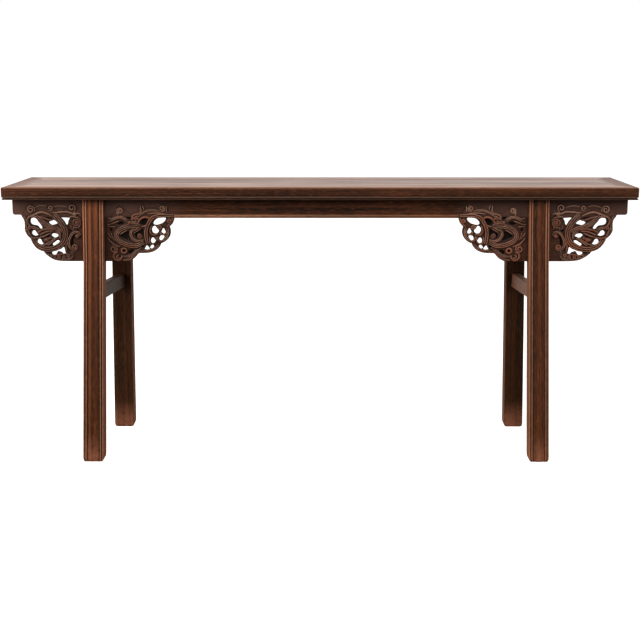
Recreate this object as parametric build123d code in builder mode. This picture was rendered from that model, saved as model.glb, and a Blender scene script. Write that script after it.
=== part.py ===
"""Chinese altar table with recessed, splayed legs.

Millimetres.  X runs along the table, -Y is the front, +Z is up, and the origin
lies on the floor below the middle of the top.

The top is a mitred frame with a floating panel of tongued boards, held flat by
dovetailed battens.  Each leg is forked: the apron and the carved wings drop into
the fork, and the fork's two cheeks are tenoned up into the frame.
"""
from build123d import *
import os
from math import atan2, degrees

# ---------------------------------------------------------------- overall sizes
TOP_LENGTH = 2000
TOP_DEPTH = 400
TABLE_HEIGHT = 885

# ---------------------------------------------------------------- top frame
FRAME_THICKNESS = 40
LONG_RAIL_WIDTH = 72
END_RAIL_WIDTH = 62
ARRIS = 5  # easing of the frame's upper outer edge
FASCIA_HEIGHT = 24.5  # plain upright face below the arris
BEAD_RADIUS = 1.5
QUIRK_HEIGHT = 2.5
QUIRK_DEPTH = 4  # how far the quirk between the two beads is set in
LOWER_BEAD_RADIUS = 2.25
LOWER_BEAD_SETBACK = 1  # from the frame's outer face to the lower bead
RAIL_TENON_THICKNESS = 12
RAIL_TENON_WIDTH = 32
RAIL_TENON_SHOULDER = 24  # from the rail's outer edge to the tenon
RAIL_TENON_STOP = 12  # wood left between the tenon's tip and the end rail's edge
RAIL_TENON_RISE = 7  # from the frame's underside to the tenon

# ---------------------------------------------------------------- panel
PANEL_THICKNESS = 18
TONGUE_THICKNESS = 7
TONGUE_LENGTH = 8
TONGUE_DEPTH = 8  # from the table's surface down to the tongue
TIP_GAP = 0.5  # room left beyond the tip of every tongue and tenon

# ---------------------------------------------------------------- battens
BATTEN_COUNT = 4
BATTEN_SPACING = 400
BATTEN_WIDTH = 44
DOVETAIL_DEPTH = 5
DOVETAIL_FLARE = 3
BATTEN_TENON_LENGTH = 12
BATTEN_TENON_WIDTH = 28
BATTEN_TENON_THICKNESS = 10

# ---------------------------------------------------------------- legs
LEG_WIDTH = 60
LEG_DEPTH = 58
LEG_OVERHANG = 265.5  # from the end of the top to the leg, under the frame
LEG_SETBACK = 28  # from the front edge of the top to the leg, under the frame
SPLAY_ALONG = 18  # how far each foot stands out towards the table's end
SPLAY_ACROSS = 64  # how far each foot stands out towards front or back
BACK_SPLAY_ALONG = 23
BACK_LEG_OFFSET = 33  # how much nearer the middle the back legs stand
LEG_SHIFT = -11  # how far the front legs and wings stand off the top's middle
BACK_LEG_SHIFT = -7.5
LEG_EASE = 2
LEG_BEAD = 4
LEG_QUIRK = 3  # width of the sunk lines beside the beads
LEG_QUIRK_DEPTH = 1.5
FRONT_CHEEK = 16  # fork cheek in front of the apron, under the frame
LEG_TENON_WIDTH = 36
LEG_TENON_HEIGHT = 20
FRONT_TENON_THICKNESS = 10
BACK_TENON_THICKNESS = 8
BACK_TENON_SETBACK = 2  # from the apron's back to the tenon

# ---------------------------------------------------------------- aprons
APRON_THICKNESS = 14
APRON_HEIGHT = 57
APRON_END_INSET = 23  # from the end of the top to the apron's end
APRON_END_RADIUS = 8
APRON_END_RISE = 6  # how much narrower the apron is beyond the wings' tips
APRON_STEP_RADIUS = 5
APRON_DIP = 4  # how much deeper the front apron is between its inner wings
APRON_BEAD_HEIGHT = 11
APRON_BEAD_PROUD = 3
END_APRON_HEIGHT = 45
END_APRON_INSET = 4  # from the long apron's end to the end apron's face
END_TONGUE_THICKNESS = 5
END_TONGUE_LENGTH = 4

# ---------------------------------------------------------------- wings
LEFT_OUTER_WING_LENGTH = 203  # from the leg to the wing's tip
RIGHT_OUTER_WING_LENGTH = 218
INNER_WING_LENGTH = 222
WING_DROP = 200  # from the frame's underside to the wing's bottom edge
BACK_WING_LENGTH = 90
BACK_WING_DROP = 92
RELIEF_PROUD = 8
RELIEF_MARGIN = 6  # plain strip between the carving and the leg
WING_MEETING_GAP = 1  # between the two wings inside a leg's fork
WING_TONGUE_THICKNESS = 5
WING_TONGUE_HEIGHT = 6
WING_TONGUE_INSET = 12  # from the wing's ends to its tongue's ends

# ---------------------------------------------------------------- stretchers
STRETCHER_HEIGHT = 47
STRETCHER_THICKNESS = 26
STRETCHER_CENTRE = 536  # above the floor
STRETCHER_EASE = 3
STRETCHER_TRIM = 4  # extra length, cut back to the leaning legs
STRETCHER_TENON_LENGTH = 20
STRETCHER_TENON_HEIGHT = 28
STRETCHER_TENON_THICKNESS = 10

# ---------------------------------------------------------------- derived places
FRAME_BOTTOM = TABLE_HEIGHT - FRAME_THICKNESS
PANEL_BOTTOM = TABLE_HEIGHT - PANEL_THICKNESS
TONGUE_TOP = TABLE_HEIGHT - TONGUE_DEPTH
TONGUE_BOTTOM = TONGUE_TOP - TONGUE_THICKNESS
PANEL_HALF_LENGTH = TOP_LENGTH / 2 - END_RAIL_WIDTH
PANEL_HALF_DEPTH = TOP_DEPTH / 2 - LONG_RAIL_WIDTH
LEG_OUTER = TOP_LENGTH / 2 - LEG_OVERHANG
LEG_INNER = LEG_OUTER - LEG_WIDTH
LEG_FACE = -TOP_DEPTH / 2 + LEG_SETBACK  # front leg's face under the frame
APRON_FACE = LEG_FACE + FRONT_CHEEK
APRON_BACK = APRON_FACE + APRON_THICKNESS
APRON_END = TOP_LENGTH / 2 - APRON_END_INSET
APRON_BOTTOM = FRAME_BOTTOM - APRON_HEIGHT
END_APRON_OUTER = APRON_END - END_APRON_INSET
END_APRON_INNER = END_APRON_OUTER - APRON_THICKNESS
SIDES = {"left": -1, "right": 1}


# ---------------------------------------------------------------- wing patterns
# Points are (distance from the leg, depth below the frame's underside), drawn for the
# pattern's own sizes.  Near the leg a pattern keeps its size, and the rest is stretched to
# the wing's real length.  Each lobe runs from cusp to cusp, the crest is the carving's
# upper edge on the apron, and each piercing is a closed curve.
class Pattern:
    apron = 57
    drop = 200
    kept = 80  # length beside the leg that isn't stretched


class OuterWing(Pattern):
    lengths = {-1: LEFT_OUTER_WING_LENGTH, 1: RIGHT_OUTER_WING_LENGTH}
    drawn_length = 209
    lobes = [
        [(209, 57), (202, 67), (200, 82), (200.5, 99), (194, 115), (181, 127)],
        [(181, 127), (177.5, 139), (168, 151), (153, 160), (140.5, 168)],
        [(140.5, 168), (133, 176.5), (122, 186), (105, 195.5), (88, 199), (72, 200)],
    ]
    crest = [(207, 57), (200, 34), (182, 14), (160, 28), (140, 40), (116, 18), (92, 38), (62, 28),
             (42, 12), (24, 30)]
    piercings = [
        [(50, 60), (65, 60), (79, 61), (70, 72), (61, 84), (57, 79), (55, 70)],
        [(91, 76), (96, 71), (102, 68), (110, 69), (116, 73), (121, 75), (118, 80), (110, 84), (101, 82)],
        [(142, 90), (146, 83), (152, 76), (157, 69), (162, 62), (171, 60.5), (179, 63), (182, 71), (180, 80),
         (172, 84), (162, 85.5), (156, 89), (152, 95), (145, 96)],
        [(156, 113), (162, 107), (166, 101), (172, 100.5), (178, 106), (178.5, 113), (172, 118), (162, 117.5)],
        [(89, 117.5), (93, 112), (99, 110.5), (105, 110.5), (113.5, 117), (110, 121.5), (103, 125), (95, 121.5)],
        [(140, 141), (145.5, 135), (148.5, 129), (153, 127.5), (160, 132), (162, 139), (156, 145.5),
         (149, 147), (143, 144.5)],
        [(86.5, 133), (92, 132), (98.5, 135.5), (104.5, 140), (111.5, 147), (108, 151), (100, 147), (91, 141)],
        [(67.5, 171), (70, 163), (73, 154), (79, 158), (86, 162), (93.5, 165.5), (90, 169), (82, 171.5),
         (77, 176.5), (70, 176)],
        [(93.5, 165), (99, 167), (107, 168.5), (113.5, 171), (115, 175), (111, 179.5), (103, 180), (97.5, 175)],
    ]


class InnerWing(Pattern):
    lengths = {-1: INNER_WING_LENGTH, 1: INNER_WING_LENGTH}
    drawn_length = 222
    lobes = [
        [(222, 57), (219.5, 72), (213, 83), (206, 89)],
        [(206, 89), (209.5, 102), (206.5, 119), (196, 133), (178, 142)],
        [(178, 142), (172, 155), (158, 166.5), (135, 173), (107, 174)],
        [(107, 174), (98, 183), (88, 192), (71, 200)],
    ]
    crest = [(218, 57), (204, 34), (190, 14), (160, 26), (136, 20), (122, 12), (104, 36), (82, 46),
             (60, 26), (44, 24), (34, 40), (20, 52)]
    piercings = [
        [(154.5, 79), (156, 74), (161, 68), (168, 63), (177, 60.5), (187, 60), (195, 61), (194, 67), (189, 73),
         (182, 78.5), (172, 82), (160, 83.5)],
        [(149.5, 100), (150.5, 94), (154.5, 88.5), (161, 86), (165, 91), (169, 96), (172.5, 101), (170, 106),
         (164, 111), (156, 111), (151, 106)],
        [(179.5, 104), (182.5, 99), (186, 93.5), (189.5, 95), (192, 101), (194, 105), (191, 110), (185, 111.5)],
        [(172, 129), (174, 122), (178, 117.5), (183, 116.5), (189.5, 118), (188, 123), (184.5, 128),
         (181, 132.5), (175, 133)],
        [(145, 136), (146, 130), (150, 124.5), (153.5, 123), (158, 127.5), (161.5, 133), (159, 139),
         (154.5, 142), (148, 141.5)],
        [(122, 161.5), (128, 155), (133, 148.5), (137.5, 153), (141.5, 160), (136, 163), (128, 163)],
        [(141.5, 156), (146, 150), (151, 146.5), (155.5, 150), (152.5, 156), (148, 159.5), (143, 159)],
    ]


# ---------------------------------------------------------------- helpers
def slab(x, y, z, mode=Mode.ADD):
    """A box between the (low, high) pairs x, y and z."""
    with Locations((sum(x) / 2, sum(y) / 2, sum(z) / 2)):
        Box(x[1] - x[0], y[1] - y[0], z[1] - z[0], mode=mode)


def span(first, second):
    """Two numbers as a (low, high) pair."""
    return (min(first, second), max(first, second))


def save(piece, name):
    """Label one finished piece and write it as its own STEP file."""
    piece.part.label = name
    export_step(piece.part, f"parts/{name}.step")
    return piece


# ---------------------------------------------------------------- top frame
def rail_section(plane, width):
    """Section of a frame rail: x from the inner edge outward, y down from the top."""
    bead_top = ARRIS + FASCIA_HEIGHT
    bead_bottom = bead_top + 2 * BEAD_RADIUS
    lower_top = bead_bottom + QUIRK_HEIGHT
    lower_bottom = lower_top + 2 * LOWER_BEAD_RADIUS
    lower_centre = width - LOWER_BEAD_SETBACK - LOWER_BEAD_RADIUS
    with BuildSketch(plane) as section:
        with BuildLine():
            arris = TangentArc((width, -ARRIS), (width - ARRIS, 0), tangent=(0, 1))
            Polyline(arris @ 1, (0, 0), (0, -FRAME_THICKNESS), (lower_centre, -FRAME_THICKNESS),
                     (lower_centre, -lower_bottom))
            ThreePointArc((lower_centre, -lower_bottom),
                          (width - LOWER_BEAD_SETBACK, -lower_top - LOWER_BEAD_RADIUS),
                          (lower_centre, -lower_top))
            Polyline((lower_centre, -lower_top), (width - QUIRK_DEPTH, -lower_top),
                     (width - QUIRK_DEPTH, -bead_bottom), (width - BEAD_RADIUS, -bead_bottom))
            ThreePointArc((width - BEAD_RADIUS, -bead_bottom), (width, -bead_top - BEAD_RADIUS),
                          (width - BEAD_RADIUS, -bead_top))
            Polyline((width - BEAD_RADIUS, -bead_top), (width, -bead_top + BEAD_RADIUS), arris @ 0)
        make_face()
    return section.sketch


def mitre_plane(side, face):
    """Upright plane through a corner's outer and inner points; its +Z side is the end rail's."""
    return Plane(origin=(side * TOP_LENGTH / 2, face * TOP_DEPTH / 2, 0),
                 z_dir=(side * LONG_RAIL_WIDTH, -face * END_RAIL_WIDTH, 0))


def rail_tenon(side, face, gap=0.0, mode=Mode.ADD):
    """Tenon of a long rail, and with a gap the mortise for it in the end rail."""
    outer = TOP_DEPTH / 2 - RAIL_TENON_SHOULDER
    low = FRAME_BOTTOM + RAIL_TENON_RISE
    slab(span(side * (PANEL_HALF_LENGTH + TIP_GAP), side * (TOP_LENGTH / 2 - RAIL_TENON_STOP + gap)),
         span(face * (outer - RAIL_TENON_WIDTH), face * outer),
         (low, low + RAIL_TENON_THICKNESS), mode)


def long_rail(face):
    """Front (face -1) or back (face +1) rail, mitred and tenoned at both ends."""
    inner = face * PANEL_HALF_DEPTH
    start = Plane(origin=(-TOP_LENGTH / 2, inner, TABLE_HEIGHT), x_dir=(0, face, 0), z_dir=(face, 0, 0))
    with BuildPart() as rail:
        extrude(rail_section(start, LONG_RAIL_WIDTH), amount=face * TOP_LENGTH)
        for side in SIDES.values():
            split(bisect_by=mitre_plane(side, face), keep=Keep.BOTTOM)
        for side in SIDES.values():
            rail_tenon(side, face)
        slab((-TOP_LENGTH / 2, TOP_LENGTH / 2), span(inner, inner + face * (TONGUE_LENGTH + TIP_GAP)),
             (TONGUE_BOTTOM, TONGUE_TOP), Mode.SUBTRACT)
        for place in batten_places():
            batten_tenon(place, face, TIP_GAP, Mode.SUBTRACT)
        for side in SIDES.values():
            leg_tenons(side, face, TIP_GAP, Mode.SUBTRACT)
    return rail


def end_rail(side):
    """Left (side -1) or right (side +1) rail, mitred and mortised at both ends."""
    inner = side * PANEL_HALF_LENGTH
    start = Plane(origin=(inner, TOP_DEPTH / 2, TABLE_HEIGHT), x_dir=(side, 0, 0), z_dir=(0, -side, 0))
    with BuildPart() as rail:
        extrude(rail_section(start, END_RAIL_WIDTH), amount=side * TOP_DEPTH)
        for face in (-1, 1):
            split(bisect_by=mitre_plane(side, face), keep=Keep.TOP)
            rail_tenon(side, face, TIP_GAP, Mode.SUBTRACT)
        slab(span(inner, inner + side * (TONGUE_LENGTH + TIP_GAP)), (-TOP_DEPTH / 2, TOP_DEPTH / 2),
             (TONGUE_BOTTOM, TONGUE_TOP), Mode.SUBTRACT)
    return rail


# ---------------------------------------------------------------- panel and battens
def batten_places():
    """X of every batten's centre."""
    first = -(BATTEN_COUNT - 1) * BATTEN_SPACING / 2
    return [first + index * BATTEN_SPACING for index in range(BATTEN_COUNT)]


def dovetail(place, mode=Mode.ADD):
    """Dovetailed upper edge of a batten, which slides along Y into the boards."""
    neck = BATTEN_WIDTH / 2 - DOVETAIL_FLARE
    top = PANEL_BOTTOM + DOVETAIL_DEPTH
    end = Plane(origin=(place, -PANEL_HALF_DEPTH, 0), x_dir=(1, 0, 0), z_dir=(0, -1, 0))
    with BuildSketch(end) as section:
        Polygon((-neck, PANEL_BOTTOM), (neck, PANEL_BOTTOM), (BATTEN_WIDTH / 2, top),
                (-BATTEN_WIDTH / 2, top), align=None)
    extrude(section.sketch, amount=-2 * PANEL_HALF_DEPTH, mode=mode)


def batten_tenon(place, face, gap=0.0, mode=Mode.ADD):
    """Tenon at one end of a batten, and with a gap the mortise for it in the long rail."""
    middle = (FRAME_BOTTOM + PANEL_BOTTOM) / 2
    slab((place - BATTEN_TENON_WIDTH / 2, place + BATTEN_TENON_WIDTH / 2),
         span(face * PANEL_HALF_DEPTH, face * (PANEL_HALF_DEPTH + BATTEN_TENON_LENGTH + gap)),
         (middle - BATTEN_TENON_THICKNESS / 2, middle + BATTEN_TENON_THICKNESS / 2), mode)


def batten(place):
    """Cross batten that holds the boards flat and ties the long rails together."""
    with BuildPart() as piece:
        slab((place - BATTEN_WIDTH / 2, place + BATTEN_WIDTH / 2),
             (-PANEL_HALF_DEPTH, PANEL_HALF_DEPTH), (FRAME_BOTTOM, PANEL_BOTTOM))
        dovetail(place)
        for face in (-1, 1):
            batten_tenon(place, face)
    return piece


def board(face):
    """Front or back board of the panel, tongued into the frame and into its neighbour."""
    tongue = (TONGUE_BOTTOM, TONGUE_TOP)
    edge = face * PANEL_HALF_DEPTH
    with BuildPart() as piece:
        slab((-PANEL_HALF_LENGTH, PANEL_HALF_LENGTH), span(0, edge), (PANEL_BOTTOM, TABLE_HEIGHT))
        slab((-PANEL_HALF_LENGTH - TONGUE_LENGTH, PANEL_HALF_LENGTH + TONGUE_LENGTH),
             span(0, edge + face * TONGUE_LENGTH), tongue)
        if face < 0:
            slab((-PANEL_HALF_LENGTH, PANEL_HALF_LENGTH), (0, TONGUE_LENGTH), tongue)
        else:
            reach = PANEL_HALF_LENGTH + TONGUE_LENGTH
            slab((-reach, reach), (0, TONGUE_LENGTH + TIP_GAP), tongue, Mode.SUBTRACT)
        for place in batten_places():
            dovetail(place, Mode.SUBTRACT)
    return piece


# ---------------------------------------------------------------- legs
def leg_middle(side, face, down=0.0):
    """X of a leg's centre line; down is 0 at the frame's underside and 1 at the floor."""
    if face < 0:
        return LEG_SHIFT + side * (LEG_OUTER - LEG_WIDTH / 2 + SPLAY_ALONG * down)
    return BACK_LEG_SHIFT + side * (LEG_OUTER - LEG_WIDTH / 2 - BACK_LEG_OFFSET + BACK_SPLAY_ALONG * down)


def leg_section(plane):
    """Half section of a leg, mirrored: beads run along both edges of its outward face."""
    half = LEG_WIDTH / 2
    outer_bead = half - LEG_BEAD
    inner_bead = outer_bead - LEG_QUIRK - LEG_BEAD
    with BuildSketch(plane) as section:
        with BuildLine():
            Polyline((0, 0), (inner_bead - LEG_QUIRK, 0), (inner_bead - LEG_QUIRK, LEG_QUIRK_DEPTH),
                     (inner_bead, LEG_QUIRK_DEPTH), (inner_bead, 0), (inner_bead + LEG_BEAD, 0),
                     (inner_bead + LEG_BEAD, LEG_QUIRK_DEPTH), (outer_bead, LEG_QUIRK_DEPTH),
                     (outer_bead, 0), (half - LEG_EASE, 0), (half, LEG_EASE), (half, LEG_DEPTH - LEG_EASE),
                     (half - LEG_EASE, LEG_DEPTH), (0, LEG_DEPTH), close=True)
        make_face()
        mirror(about=Plane.YZ)
    return section.sketch


def leg_blank(side, face):
    """Leaning leg before it is forked.  Back legs are front legs turned to face the back."""
    foot = Plane(origin=(leg_middle(side, face, 1), face * (SPLAY_ACROSS - LEG_FACE), 0),
                 x_dir=(-face, 0, 0), z_dir=(0, 0, 1))
    lean = Vector(leg_middle(side, face) - foot.origin.X, -face * SPLAY_ACROSS, FRAME_BOTTOM)
    with BuildPart() as blank:
        extrude(leg_section(foot), amount=lean.length, dir=lean)
    return blank


def leg_tenons(side, face, gap=0.0, mode=Mode.ADD):
    """Tenons on the fork's two cheeks, and with a gap their mortises in the long rail."""
    middle = leg_middle(side, face)
    front = LEG_FACE + (FRONT_CHEEK - FRONT_TENON_THICKNESS) / 2
    back = APRON_BACK + BACK_TENON_SETBACK
    for start, thickness in ((front, FRONT_TENON_THICKNESS), (back, BACK_TENON_THICKNESS)):
        slab((middle - LEG_TENON_WIDTH / 2, middle + LEG_TENON_WIDTH / 2),
             span(-face * start, -face * (start + thickness)),
             (FRAME_BOTTOM, FRAME_BOTTOM + LEG_TENON_HEIGHT + gap), mode)


def leg(side, face):
    """Forked leg with tenons at its head and a mortise for the side stretcher."""
    drop = WING_DROP if face < 0 else BACK_WING_DROP
    with BuildPart() as piece:
        add(leg_blank(side, face).part)
        slab((-TOP_LENGTH / 2, TOP_LENGTH / 2), span(-face * APRON_FACE, -face * APRON_BACK),
             (FRAME_BOTTOM - drop - TIP_GAP, FRAME_BOTTOM), Mode.SUBTRACT)
        leg_tenons(side, face)
        stretcher_tenon(side, TIP_GAP, Mode.SUBTRACT)
    return piece


# ---------------------------------------------------------------- aprons
def long_apron(face):
    """Front or back apron, dropped through both forks; only the front one is beaded."""
    thickness = span(-face * APRON_FACE, -face * APRON_BACK)
    with BuildPart() as apron:
        slab((-APRON_END, APRON_END), thickness, (APRON_BOTTOM, FRAME_BOTTOM))
        for side in SIDES.values():
            tip = wing_plane(side, OuterWing)[0].origin.X + side * OuterWing.lengths[side]
            slab(span(tip, side * APRON_END), thickness, (APRON_BOTTOM, APRON_BOTTOM + APRON_END_RISE),
                 Mode.SUBTRACT)
            for end, radius in ((side * APRON_END, APRON_END_RADIUS), (tip, APRON_STEP_RADIUS)):
                corner = apron.edges().filter_by(Axis.Y).sort_by_distance(
                    (end, sum(thickness) / 2, APRON_BOTTOM + APRON_END_RISE))[0]
                fillet(corner, radius=radius)
        if face < 0:
            reach = LEG_INNER - INNER_WING_LENGTH
            middle = (LEG_SHIFT - reach, LEG_SHIFT + reach)
            low = APRON_BOTTOM - APRON_DIP
            slab(middle, thickness, (low, APRON_BOTTOM))
            slab(middle, (APRON_FACE - APRON_BEAD_PROUD, APRON_FACE), (low, low + APRON_BEAD_HEIGHT))
            for side in SIDES.values():
                wing_tongue(side, OuterWing, TIP_GAP, Mode.SUBTRACT)
                wing_tongue(side, InnerWing, TIP_GAP, Mode.SUBTRACT)
        for side in SIDES.values():
            end_apron_tongue(side, face, TIP_GAP, Mode.SUBTRACT)
    return apron


def end_apron_tongue(side, face, gap=0.0, mode=Mode.ADD):
    """Tongue of an end apron, and with a gap the groove for it in the long apron."""
    middle = side * (END_APRON_OUTER + END_APRON_INNER) / 2
    slab((middle - END_TONGUE_THICKNESS / 2, middle + END_TONGUE_THICKNESS / 2),
         span(-face * APRON_BACK, -face * (APRON_BACK - END_TONGUE_LENGTH - gap)),
         (FRAME_BOTTOM - END_APRON_HEIGHT, FRAME_BOTTOM), mode)


def end_apron(side):
    """Plain board that closes the end between the two long aprons."""
    with BuildPart() as apron:
        slab(span(side * END_APRON_INNER, side * END_APRON_OUTER), (APRON_BACK, -APRON_BACK),
             (FRAME_BOTTOM - END_APRON_HEIGHT, FRAME_BOTTOM))
        for face in (-1, 1):
            end_apron_tongue(side, face)
    return apron


# ---------------------------------------------------------------- wings
def wing_plane(side, design):
    """Sketch plane on the front apron's face: x away from the leg, y up from the frame's underside."""
    heading = side if design is OuterWing else -side
    edge = leg_middle(side, -1) + heading * LEG_WIDTH / 2
    plane = Plane(origin=(edge, APRON_FACE, FRAME_BOTTOM), x_dir=(heading, 0, 0), z_dir=(0, -heading, 0))
    return plane, heading


def wing_tongue(side, design, gap=0.0, mode=Mode.ADD):
    """Tongue along a wing's upper edge, and with a gap the groove for it in the apron."""
    plane, heading = wing_plane(side, design)
    reach = design.lengths[side] - WING_TONGUE_INSET
    middle = (APRON_FACE + APRON_BACK) / 2
    slab(span(plane.origin.X + heading * WING_TONGUE_INSET, plane.origin.X + heading * reach),
         (middle - WING_TONGUE_THICKNESS / 2, middle + WING_TONGUE_THICKNESS / 2),
         (APRON_BOTTOM, APRON_BOTTOM + WING_TONGUE_HEIGHT + gap), mode)


def stretched(design, side, points):
    """Pattern points as sketch points at the wing's real length, apron height and drop."""
    along = (design.lengths[side] - design.kept) / (design.drawn_length - design.kept)
    above = APRON_HEIGHT / design.apron
    below = (WING_DROP - APRON_HEIGHT) / (design.drop - design.apron)
    return [(away if away <= design.kept else design.kept + (away - design.kept) * along,
             -depth * above if depth <= design.apron else -APRON_HEIGHT - (depth - design.apron) * below)
            for away, depth in points]


def pierced_section(plane, side, design, leg_edge, crested):
    """Wing outline from its upper edge round its lobes to an upright edge by the leg, pierced."""
    with BuildSketch(plane) as section:
        with BuildLine():
            lobes = [Spline(stretched(design, side, lobe)) for lobe in design.lobes]
            tip, end = lobes[0] @ 0, lobes[-1] @ 1
            Polyline(end, (leg_edge, end.Y), (leg_edge, -APRON_HEIGHT))
            if crested:
                crest = Spline(stretched(design, side, design.crest) + [(leg_edge, -APRON_HEIGHT)])
                Line(crest @ 0, tip)
            else:
                Line((leg_edge, -APRON_HEIGHT), tip)
        make_face()
        for outline in design.piercings:
            with BuildLine():
                Spline(stretched(design, side, outline), periodic=True)
            make_face(mode=Mode.SUBTRACT)
    return section.sketch


def carved_wing(side, design):
    """Pierced wing below the front apron, its relief lapping up over the apron's face."""
    plane, heading = wing_plane(side, design)
    into_fork = (WING_MEETING_GAP - LEG_WIDTH) / 2
    with BuildPart() as wing:
        core = pierced_section(plane, side, design, into_fork, crested=False)
        extrude(core, amount=-heading * APRON_THICKNESS)
        relief = pierced_section(plane, side, design, RELIEF_MARGIN, crested=True)
        extrude(relief, amount=heading * RELIEF_PROUD)
        wing_tongue(side, design)
    return wing


def plain_wing(side, heading):
    """Small plain wing below the back apron; heading is +1 on the leg's outer side."""
    edge = leg_middle(side, 1) + side * heading * LEG_WIDTH / 2
    plane = Plane(origin=(edge, -APRON_FACE, FRAME_BOTTOM), x_dir=(side * heading, 0, 0),
                  z_dir=(0, -side * heading, 0))
    into_fork = -(LEG_WIDTH - WING_MEETING_GAP) / 2
    corner_radius = BACK_WING_DROP - APRON_HEIGHT
    with BuildPart() as wing:
        with BuildSketch(plane):
            with BuildLine():
                curve = JernArc((BACK_WING_LENGTH, -APRON_HEIGHT), (0, -1), corner_radius, -90)
                Polyline(curve @ 1, (into_fork, -BACK_WING_DROP), (into_fork, -APRON_HEIGHT), curve @ 0)
            make_face()
        extrude(amount=side * heading * APRON_THICKNESS)
    return wing


# ---------------------------------------------------------------- stretchers
def stretcher_ends(side):
    """Where a stretcher's centre line meets the front leg and the back leg."""
    low = 1 - STRETCHER_CENTRE / FRAME_BOTTOM
    inner_face = LEG_FACE - SPLAY_ACROSS * low + LEG_DEPTH
    return (Vector(leg_middle(side, -1, low), inner_face, STRETCHER_CENTRE),
            Vector(leg_middle(side, 1, low), -inner_face, STRETCHER_CENTRE))


def stretcher_bar(side, extra, thickness, height, mode=Mode.ADD):
    """Bar from leg to leg that runs on by extra into each of them."""
    front, back = stretcher_ends(side)
    run = back - front
    turn = degrees(atan2(run.Y, run.X))
    with Locations(Location((front + back) / 2, (0, 0, turn))):
        return Box(run.length + 2 * extra, thickness, height, mode=mode)


def stretcher_tenon(side, gap=0.0, mode=Mode.ADD):
    """Through bar whose ends are the tenons, and with a gap the mortises in both legs."""
    return stretcher_bar(side, STRETCHER_TENON_LENGTH + gap, STRETCHER_TENON_THICKNESS,
                         STRETCHER_TENON_HEIGHT, mode)


def stretcher(side):
    """Side stretcher, shouldered against the leaning legs and tenoned into them."""
    with BuildPart() as bar:
        stretcher_bar(side, STRETCHER_TRIM, STRETCHER_THICKNESS, STRETCHER_HEIGHT)
        long_edges = bar.edges().sort_by(SortBy.LENGTH)[-4:]
        fillet(long_edges, radius=STRETCHER_EASE)
        for face in (-1, 1):
            add(leg_blank(side, face).part, mode=Mode.SUBTRACT)
        stretcher_tenon(side)
    return bar


# ---------------------------------------------------------------- build
def main():
    os.makedirs("parts", exist_ok=True)

    for name, face in (("front", -1), ("back", 1)):
        save(long_rail(face), f"top_{name}_rail")
        save(board(face), f"top_{name}_board")
        save(long_apron(face), f"{name}_apron")
    for index, place in enumerate(batten_places(), start=1):
        save(batten(place), f"top_batten_{index}")
    for name, side in SIDES.items():
        save(end_rail(side), f"top_{name}_end_rail")
        save(end_apron(side), f"{name}_end_apron")
        save(leg(side, -1), f"front_{name}_leg")
        save(leg(side, 1), f"back_{name}_leg")
        save(carved_wing(side, OuterWing), f"front_{name}_outer_wing")
        save(carved_wing(side, InnerWing), f"front_{name}_inner_wing")
        save(plain_wing(side, 1), f"back_{name}_outer_wing")
        save(plain_wing(side, -1), f"back_{name}_inner_wing")
        save(stretcher(side), f"{name}_stretcher")


main()
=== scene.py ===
"""Altar table with recessed legs: old lacquered elm, carved and worn, around its CAD frame."""

import math
from types import SimpleNamespace

import bmesh
import bpy
from mathutils import Matrix, Vector


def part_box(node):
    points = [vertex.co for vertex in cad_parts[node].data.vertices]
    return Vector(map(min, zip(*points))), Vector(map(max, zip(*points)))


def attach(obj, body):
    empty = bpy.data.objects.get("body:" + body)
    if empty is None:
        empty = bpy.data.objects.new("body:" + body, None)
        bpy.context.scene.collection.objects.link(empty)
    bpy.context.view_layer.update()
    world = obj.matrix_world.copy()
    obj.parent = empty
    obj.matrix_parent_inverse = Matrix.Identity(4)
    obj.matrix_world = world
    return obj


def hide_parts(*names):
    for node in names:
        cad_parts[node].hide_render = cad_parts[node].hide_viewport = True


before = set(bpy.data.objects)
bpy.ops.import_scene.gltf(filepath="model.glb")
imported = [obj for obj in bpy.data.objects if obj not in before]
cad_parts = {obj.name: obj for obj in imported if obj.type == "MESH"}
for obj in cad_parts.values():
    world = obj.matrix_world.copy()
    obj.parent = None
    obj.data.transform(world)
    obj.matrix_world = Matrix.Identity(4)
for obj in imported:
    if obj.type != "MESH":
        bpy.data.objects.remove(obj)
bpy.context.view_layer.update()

bl_info = {
    "name": "Carved Altar Table",
    "version": (1, 1, 0),
    "blender": (4, 5, 0),
    "location": "3D View > Sidebar > Altar Table",
    "description": "Carves, finishes and lights an altar table with pierced dragon wings",
    "category": "Object",
}

MM = 0.001
FRAME_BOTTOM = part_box("front_apron")[1].z
TABLE_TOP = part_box("top_front_board")[1].z
TOP_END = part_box("top_front_rail")[1].x
TOP_SIDE = -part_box("top_front_rail")[0].y
MITRE_SLOPE = 62 / 72  # an end rail's width to a long rail's
APRON_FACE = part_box("front_left_outer_wing")[0].y + 8 * MM  # the carving stands 8 mm proud
APRON_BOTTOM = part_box("front_apron")[0].z


def linear(code):
    """The linear colour of an sRGB hex code, with its alpha."""
    shares = [int(code[i : i + 2], 16) / 255 for i in (1, 3, 5)]
    return (*(s / 12.92 if s <= 0.04045 else ((s + 0.055) / 1.055) ** 2.4 for s in shares), 1.0)


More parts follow.
